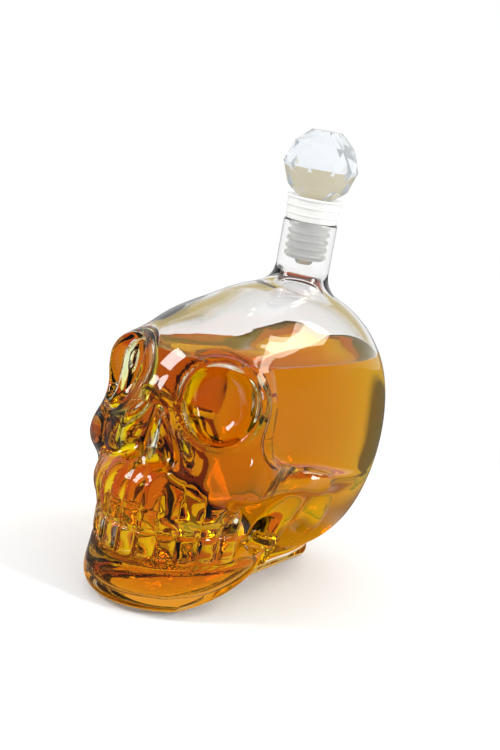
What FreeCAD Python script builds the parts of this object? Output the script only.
import FreeCAD, Part
import math
import os

# A skull-shaped glass decanter with a ball stopper. Millimetres, +Z up, the face looks along -Y.
# The origin lies on the neck's axis, in the plane of the table.

# Glass head: overall sizes, without the neck
head_width = 104.0
head_length = 160.0
head_height = 145.0
glass_wall = 4.0
floor_thickness = 6.0

# Roundings between the masses of the head, from broad swells to crisp edges
broad_blend = 15.0
face_blend = 13.0
soft_blend = 8.5
crisp_blend = 5.0
edge_blend = 4.0
jaw_edge_rounding = 14.0
panel_corner_rounding = 12.0
base_edge_rounding = 4.0
cavity_floor_rounding = 6.0

# Neck: it stands on the crown, and its bore opens into the hollow with a small step
neck_bore = 20.6
neck_wall = 2.6
neck_length = 29.6
neck_root_blend = 9.0
shoulder_step = 0.4
shoulder_rise = 3.0

# Liquor
headspace = 31.0
liquor_gap = 0.25

# Stopper: a faceted glass ball with a stem, and the plastic sleeve that seals it in the neck
ball_diameter = 36.0
ball_centre_above_rim = 26.3
ball_facets_round = 10
facet_ring_degrees = (-66.0, -34.0, 0.0, 34.0, 66.0)
stem_diameter = 7.0
bead_step = 0.8
bead_height = 2.4
collar_overhang = 1.8
collar_flare = 1.5
collar_height = 11.4
collar_ring_count = 3
collar_ring_depth = 0.5
shank_length = 18.0
rib_reach = 1.44
rib_count = 5
rib_height = 1.2
rib_middle_share = 0.5
bore_clearance = 0.06
stem_clearance = 0.05
seat_clearance = 0.3

# Masses of the head: centre and half-sizes, as shares of its width, length and height
cranium_shares = ((0, -0.069, 0.600), (0.490, 0.452, 0.400))
occiput_shares = ((0, 0.075, 0.400), (0.404, 0.308, 0.345))
forehead_shares = ((0, -0.350, 0.694), (0.400, 0.228, 0.224))
mid_face_shares = ((0, -0.425, 0.580), (0.413, 0.172, 0.220))
brow_corner_shares = ((0.327, -0.470, 0.705), (0.088, 0.075, 0.065))
cheek_bone_shares = ((0.3365, -0.450, 0.460), (0.125, 0.100, 0.088))
upper_jaw_shares = ((0, -0.481, 0.350), (0.345, 0.177, 0.145))
chin_shares = ((0, -0.600, 0.095), (0.150, 0.055, 0.080))
mouth_shares = ((0, -0.425, 0.193), (0.300, 0.1875, 0.176))
throat_shares = ((0, -0.170, 0.190), (0.200, 0.250, 0.190))
mastoid_shares = ((0.327, -0.0625, 0.297), (0.0865, 0.056, 0.097))

# The flank is a very large egg that trims the side of the head, and the temple panel is a scoop down
# to it: behind one line, and above another that falls towards the rear
flank_shares = ((-2.435, -0.0875, 0.428), (2.885, 1.875, 2.069))
panel_front_share = -0.397
panel_foot_share = 0.437
panel_fall_share = 0.2

# Bars of the head: both ends as shares of its width, length and height, both radii of its width
cheek_arch_shares = ((0.394, -0.400, 0.452), (0.462, -0.1875, 0.440), 0.0625, 0.053)
rear_arch_shares = ((0.462, -0.1875, 0.440), (0.400, 0.040, 0.415), 0.053, 0.010)
nose_wing_shares = ((0.030, -0.575, 0.660), (0.200, -0.555, 0.490), 0.034, 0.042)
ramus_shares = ((0.250, -0.210, 0.145), (0.356, -0.150, 0.414), 0.062, 0.060)
keel_shares = ((0, -0.480, 0.028), (0, 0.200, 0.028), 0.180, 0.100)

# Hollows of the head, in the same shares; the nostril is a bar
eye_socket_shares = ((0.282, -0.535, 0.690), (0.168, 0.085, 0.126))
nostril_shares = ((0.030, -0.590, 0.622), (0.092, -0.602, 0.505), 0.035, 0.076)
jaw_hollow_shares = ((0.404, -0.294, 0.290), (0.125, 0.075, 0.110))

# Dental arch: its half-ellipse in plan, and the middle and half-height of its two rows of teeth
arch_centre_share = -0.3625
arch_half_width_share = 0.348
arch_depth_share = 0.300
arch_end_angle = 1.45
upper_teeth_shares = (0.299, 0.035)
lower_teeth_shares = (0.224, 0.041)

# Lower jaw: the arch's outline, spreading downwards, with a foot that rises towards the rear
jaw_spread = 3.5
jaw_top_share = 0.183
jaw_foot_start_share = -0.560
jaw_foot_rise_share = 0.26
jaw_rear_share = -0.180

# Rays that find the skin: they leave a line inside the head, level up to the liquor's surface
ray_line_foot_share = -0.190
ray_line_share = -0.115
ray_line_bend_share = 0.42
side_rows = 36
dome_rows = 16
neck_rows = 6
dome_tilt_degrees = 38.0
half_columns = 40
skin_degree = 3
march_share = 0.7
march_step_limit = 400
root_halvings = 16

HEAD = (head_width, head_length, head_height)
rim_height = head_height + neck_length
shoulder_height = head_height + shoulder_rise
fill_height = head_height - headspace
bore_radius = neck_bore / 2
rim_radius = bore_radius + neck_wall
shoulder_radius = bore_radius + shoulder_step
ball_radius = ball_diameter / 2
ball_centre_height = rim_height + ball_centre_above_rim
finest_step = glass_wall / 100
ray_line_half = (head_length - head_width) / 2
PANEL_FRONT = panel_front_share * head_length
PANEL_FOOT = panel_foot_share * head_height
ARCH_CENTRE = arch_centre_share * head_length
ARCH_HALF_WIDTH = arch_half_width_share * head_width
ARCH_DEPTH = arch_depth_share * head_length
JAW_TOP = jaw_top_share * head_height
JAW_FOOT_START = jaw_foot_start_share * head_length
JAW_REAR = jaw_rear_share * head_length


def placed(shares):
    """A point of the head, in millimetres, from its shares."""
    return tuple(share * size for share, size in zip(shares, HEAD))


def mass(shares):
    """Centre and half-sizes of an egg-shaped mass."""
    return placed(shares[0]) + placed(shares[1])


def bar(shares):
    """Ends and radii of a tapered bar."""
    return placed(shares[0]) + placed(shares[1]) + (shares[2] * head_width, shares[3] * head_width)


def mass_distance(x, y, z, egg):
    cx, cy, cz, rx, ry, rz = egg
    ux, uy, uz = (x - cx) / rx, (y - cy) / ry, (z - cz) / rz
    reach = math.sqrt(ux * ux + uy * uy + uz * uz)
    if reach == 0:
        return -min(rx, ry, rz)
    slope = math.sqrt((ux / rx) ** 2 + (uy / ry) ** 2 + (uz / rz) ** 2)
    return reach * (reach - 1) / slope


def bar_distance(x, y, z, rod):
    ax, ay, az, bx, by, bz, start_radius, end_radius = rod
    dx, dy, dz = bx - ax, by - ay, bz - az
    along = ((x - ax) * dx + (y - ay) * dy + (z - az) * dz) / (dx * dx + dy * dy + dz * dz)
    along = min(max(along, 0), 1)
    gap = math.sqrt((x - ax - along * dx) ** 2 + (y - ay - along * dy) ** 2 + (z - az - along * dz) ** 2)
    return gap - start_radius - along * (end_radius - start_radius)


def joined(a, b, blend):
    """Both shapes together, with a fillet."""
    overlap = max(blend - abs(a - b), 0) / blend
    return min(a, b) - overlap * overlap * blend / 4


def shared(a, b, blend):
    """What both shapes hold, with a rounded edge."""
    return -joined(-a, -b, blend)


CRANIUM = mass(cranium_shares)
OCCIPUT = mass(occiput_shares)
FOREHEAD = mass(forehead_shares)
FLANK = mass(flank_shares)
BROAD_MASSES = (
    (mass_distance, mass(mid_face_shares), face_blend),
    (mass_distance, mass(brow_corner_shares), face_blend),
    (mass_distance, mass(cheek_bone_shares), face_blend),
    (mass_distance, mass(upper_jaw_shares), soft_blend),
    (mass_distance, mass(chin_shares), soft_blend),
    (mass_distance, mass(mouth_shares), soft_blend),
    (mass_distance, mass(throat_shares), soft_blend),
    (bar_distance, bar(keel_shares), soft_blend),
)
SLIM_MASSES = (
    (bar_distance, bar(cheek_arch_shares), soft_blend),
    (bar_distance, bar(rear_arch_shares), soft_blend),
    (bar_distance, bar(nose_wing_shares), soft_blend),
    (bar_distance, bar(ramus_shares), crisp_blend),
    (mass_distance, mass(mastoid_shares), crisp_blend),
)
HOLLOWS = (
    (mass_distance, mass(eye_socket_shares), edge_blend),
    (bar_distance, bar(nostril_shares), edge_blend),
    (mass_distance, mass(jaw_hollow_shares), crisp_blend),
)
TEETH = tuple((middle * head_height, half * head_height)
              for middle, half in (upper_teeth_shares, lower_teeth_shares))


def arch_distance(x, y):
    """Signed distance, in plan, to the outline of the dental arch."""
    ux, uy = x / ARCH_HALF_WIDTH, (y - ARCH_CENTRE) / ARCH_DEPTH
    reach = math.hypot(ux, uy)
    if reach == 0:
        return -ARCH_HALF_WIDTH
    return reach * (reach - 1) / math.hypot(ux / ARCH_HALF_WIDTH, uy / ARCH_DEPTH)


def jaw_distance(x, y, z):
    """Signed distance to the lower jaw."""
    side = arch_distance(x, y) - jaw_spread * (1 - z / JAW_TOP)
    foot = jaw_foot_rise_share * max(y - JAW_FOOT_START, 0) - z
    body = shared(side, foot, jaw_edge_rounding)
    body = shared(body, z - JAW_TOP, edge_blend)
    return shared(body, y - JAW_REAR, jaw_edge_rounding)


def panel_distance(x, y, z):
    """Signed distance to the scoop at the temple."""
    corner = shared(PANEL_FRONT - y, PANEL_FOOT - panel_fall_share * y - z, panel_corner_rounding)
    return shared(corner, -mass_distance(x, y, z, FLANK), edge_blend)


def bone_distance(x, y, z, masses):
    """Signed distance to the head without its teeth; it is the same on both sides of the face."""
    x = abs(x)
    distance = joined(mass_distance(x, y, z, CRANIUM), mass_distance(x, y, z, OCCIPUT), broad_blend)
    distance = joined(distance, mass_distance(x, y, z, FOREHEAD), broad_blend)
    distance = shared(distance, mass_distance(x, y, z, FLANK), edge_blend)
    for measure, form, blend in masses:
        distance = joined(distance, measure(x, y, z, form), blend)
    distance = joined(distance, jaw_distance(x, y, z), edge_blend)
    distance = shared(distance, -panel_distance(x, y, z), edge_blend)
    for measure, form, blend in HOLLOWS:
        distance = shared(distance, -measure(x, y, z, form), blend)
    return distance


def teeth_distance(x, y, z):
    """Signed distance to the two rows of teeth, plain bands along the dental arch."""
    angle = math.atan2(abs(x) / ARCH_HALF_WIDTH, (ARCH_CENTRE - y) / ARCH_DEPTH)
    rows = min(shared(arch_distance(x, y), abs(z - middle) - half, edge_blend) for middle, half in TEETH)
    return max(rows, (angle - arch_end_angle) * ARCH_HALF_WIDTH)


def glass_distance(x, y, z):
    """Signed distance to the outside of the glass, neck included."""
    distance = bone_distance(x, y, z, BROAD_MASSES + SLIM_MASSES)
    distance = joined(distance, teeth_distance(x, y, z), edge_blend)
    if z > fill_height:
        distance = joined(distance, math.hypot(x, y) - rim_radius, neck_root_blend)
    return distance


def cavity_distance(x, y, z):
    """Signed distance to the hollow inside the glass, open towards the neck; slim masses are solid."""
    distance = bone_distance(x, y, z, BROAD_MASSES) + glass_wall
    if z > fill_height:
        distance = joined(distance, math.hypot(x, y) - shoulder_radius, neck_root_blend)
    return distance


def liquor_distance(x, y, z):
    """Signed distance to the liquor, a little inside the hollow."""
    return cavity_distance(x, y, z) + liquor_gap


def first_crossing(distance, start, course):
    """The point where a ray from inside first leaves the shape."""
    def at(reach):
        return distance(*(a + reach * b for a, b in zip(start, course)))
    inside = 0.0
    value = at(inside)
    for _ in range(march_step_limit):
        outside = inside + max(-value * march_share, finest_step)
        value = at(outside)
        if value >= 0:
            break
        inside = outside
    for _ in range(root_halvings):
        middle = (inside + outside) / 2
        if at(middle) < 0:
            inside = middle
        else:
            outside = middle
    return FreeCAD.Vector(*(a + outside * b for a, b in zip(start, course)))


def ring(distance, height, tilt, middle, stretch):
    """Skin points round the head, mirrored across the face.

    The rays fan out from a line along the head: the front ones start before its middle, the rear
    ones behind it.
    """
    half = []
    for column in range(half_columns + 1):
        turn = math.pi * (1 - column / half_columns)
        course = (math.sin(turn) * math.cos(tilt), -math.cos(turn) * math.cos(tilt), math.sin(tilt))
        half.append(first_crossing(distance, (0, middle - stretch * math.cos(turn), height), course))
    half[0].x = 0
    half[-1].x = 0
    return half + [FreeCAD.Vector(-point.x, point.y, point.z) for point in half[-2:0:-1]]


def line_middle(height):
    """Middle of the rays' line: further forward in the jaw than in the cranium."""
    rise = min(height / (ray_line_bend_share * head_height), 1)
    return (ray_line_foot_share + (ray_line_share - ray_line_foot_share) * rise) * head_length


def side_rings(distance, floor, rounding):
    """Rings from the floor to the liquor's surface; the first bounds the flat of the floor."""
    def flat_edge(x, y, z):
        return distance(x, y, z) + rounding

    def standing(x, y, z):
        return shared(distance(x, y, z), floor - z, rounding)

    rings = [ring(flat_edge, floor, 0, line_middle(floor), ray_line_half)]
    for row in range(1, side_rows + 1):
        height = floor + (fill_height - floor) * row / side_rows
        rings.append(ring(standing, height, 0, line_middle(height), ray_line_half))
    return rings


def dome_rings(distance):
    """Rings over the dome: the rays tilt up, then level out as their start climbs to the neck."""
    rings = []
    for row in range(1, dome_rows + 1):
        way = row / dome_rows
        tilt = math.radians(dome_tilt_degrees) * math.sin(math.pi * way)
        height = fill_height + (shoulder_height - fill_height) * way * way
        left = 1 - way
        rings.append(ring(distance, height, tilt, line_middle(height) * left, ray_line_half * left))
    return rings


def neck_rings(distance):
    """Rings up the neck, from its root to the rim."""
    return [ring(distance, shoulder_height + (rim_height - shoulder_height) * row / neck_rows, 0, 0, 0)
            for row in range(1, neck_rows + 1)]


def skin(rings):
    """A smooth skin that the rings guide: closed round the head, open at the first and last ring."""
    rows = len(rings)
    columns = len(rings[0])
    row_knots = list(range(rows - skin_degree + 1))
    row_repeats = [skin_degree + 1] + [1] * (len(row_knots) - 2) + [skin_degree + 1]
    column_knots = list(range(columns + 1))
    column_repeats = [1] * (columns + 1)
    surface = Part.BSplineSurface()
    surface.buildFromPolesMultsKnots(rings, row_repeats, column_repeats, row_knots, column_knots,
                                     False, True, skin_degree, skin_degree)
    return surface.toShape()


def level_edge(face, height):
    """The edge of a skin that lies level at a height."""
    def is_level(edge):
        box = edge.BoundBox
        return abs(box.ZMin - height) < finest_step and abs(box.ZMax - height) < finest_step
    return Part.Wire([next(edge for edge in face.Edges if is_level(edge))])


def flat(*wires):
    """A flat face inside the first wire and outside any other."""
    return Part.makeFace(list(wires), "Part::FaceMakerBullseye")


def closed(faces):
    """A solid from faces that meet along their edges."""
    shell = Part.Shell(faces)
    shell.sewShape()
    solid = Part.Solid(shell)
    if solid.Volume < 0:
        solid.reverse()
    return solid


def decanter_body():
    """The blown glass: the outside skin and the hollow's skin, joined through the neck's bore."""
    outside = skin(side_rings(glass_distance, 0, base_edge_rounding)
                   + dome_rings(glass_distance) + neck_rings(glass_distance))
    hollow = skin(side_rings(cavity_distance, floor_thickness, cavity_floor_rounding)
                  + dome_rings(cavity_distance))
    bore = Part.makeCylinder(bore_radius, rim_height - shoulder_height,
                             FreeCAD.Vector(0, 0, shoulder_height)).Faces[0]
    base = flat(level_edge(outside, 0))
    rim = flat(level_edge(outside, rim_height), level_edge(bore, rim_height))
    shoulder = flat(level_edge(hollow, shoulder_height), level_edge(bore, shoulder_height))
    hollow_floor = flat(level_edge(hollow, floor_thickness))
    return closed([outside, base, rim, bore, shoulder, hollow, hollow_floor])


def liquor_fill():
    """The liquor: it fills the hollow up to a level surface."""
    floor = floor_thickness + liquor_gap
    side = skin(side_rings(liquor_distance, floor, cavity_floor_rounding))
    return closed([side, flat(level_edge(side, floor)), flat(level_edge(side, fill_height))])


def turned(profile):
    """A solid turned about the neck's axis from a closed outline of (radius, height) points."""
    corners = [FreeCAD.Vector(radius, 0, height) for radius, height in profile + profile[:1]]
    face = Part.Face(Part.makePolygon(corners))
    return face.revolve(FreeCAD.Vector(0, 0, 0), FreeCAD.Vector(0, 0, 1), 360)


def sealing_sleeve():
    """The plastic sleeve: a ribbed shank in the neck and a ringed collar that seats the ball."""
    hole_radius = stem_diameter / 2 + stem_clearance
    rib_radius = bore_radius - bore_clearance
    core_radius = rib_radius - rib_reach
    foot_radius = bore_radius + collar_overhang
    shank_foot = rim_height - shank_length
    collar_top = rim_height + collar_height
    rib_pitch = shank_length / rib_count
    ring_pitch = collar_height / collar_ring_count
    outline = [(hole_radius, shank_foot)]
    for rib in range(rib_count):
        middle = shank_foot + rib_pitch * (rib + rib_middle_share)
        outline += [(core_radius, middle - rib_height), (rib_radius, middle - rib_height / 2),
                    (rib_radius, middle + rib_height / 2), (core_radius, middle + rib_height)]
    outline[1:1] = [(core_radius, shank_foot)]
    outline += [(core_radius, rim_height), (foot_radius, rim_height)]
    for step in range(collar_ring_count):
        top = rim_height + ring_pitch * (step + 1)
        radius = foot_radius + collar_flare * (step + 1) / collar_ring_count
        outline += [(radius, top - collar_ring_depth)]
        if step < collar_ring_count - 1:
            outline += [(radius - collar_ring_depth, top)]
    outline += [(foot_radius + collar_flare - collar_ring_depth, collar_top), (hole_radius, collar_top)]
    seat = Part.makeSphere(ball_radius + seat_clearance, FreeCAD.Vector(0, 0, ball_centre_height))
    return turned(outline).cut(seat)


def ball_corner(ring_number, place):
    """A corner of the ball's facets: rings of corners, each turned half a facet from the last."""
    rise = math.radians(facet_ring_degrees[ring_number])
    turn = 2 * math.pi * (place + ring_number / 2) / ball_facets_round
    flat = ball_radius * math.cos(rise)
    return FreeCAD.Vector(flat * math.cos(turn), flat * math.sin(turn),
                          ball_centre_height + ball_radius * math.sin(rise))


def faceted_ball():
    """The ball: bands of triangular facets between a flat foot and a flat crown."""
    def plane(corners):
        return Part.Face(Part.makePolygon(corners + corners[:1]))
    last = len(facet_ring_degrees) - 1
    faces = [plane([ball_corner(end, place) for place in range(ball_facets_round)]) for end in (0, last)]
    for low in range(last):
        for place in range(ball_facets_round):
            left, right = ball_corner(low, place), ball_corner(low, place + 1)
            above, beyond = ball_corner(low + 1, place), ball_corner(low + 1, place + 1)
            faces += [plane([left, right, above]), plane([right, beyond, above])]
    solid = Part.Solid(Part.Shell(faces))
    if solid.Volume < 0:
        solid.reverse()
    return solid


def stopper_ball():
    """The ball with its stem, which ends in a bead below the sleeve."""
    stem_radius = stem_diameter / 2
    bead_radius = stem_radius + bead_step
    bead_top = rim_height - shank_length - seat_clearance
    bead_foot = bead_top - bead_height
    stem = turned([(0, bead_foot), (stem_radius, bead_foot), (bead_radius, bead_foot + bead_height / 2),
                   (bead_radius, bead_top), (stem_radius, bead_top), (stem_radius, ball_centre_height),
                   (0, ball_centre_height)])
    return faceted_ball().fuse(stem).removeSplitter()


os.makedirs("parts", exist_ok=True)
for make in (decanter_body, liquor_fill, sealing_sleeve, stopper_ball):
    solid = make()
    solid.exportStep("parts/" + make.__name__ + ".step")
    print(make.__name__, "valid" if solid.isValid() else "not valid", len(solid.Solids), "solid",
          round(solid.Volume), "cubic mm", solid.BoundBox)
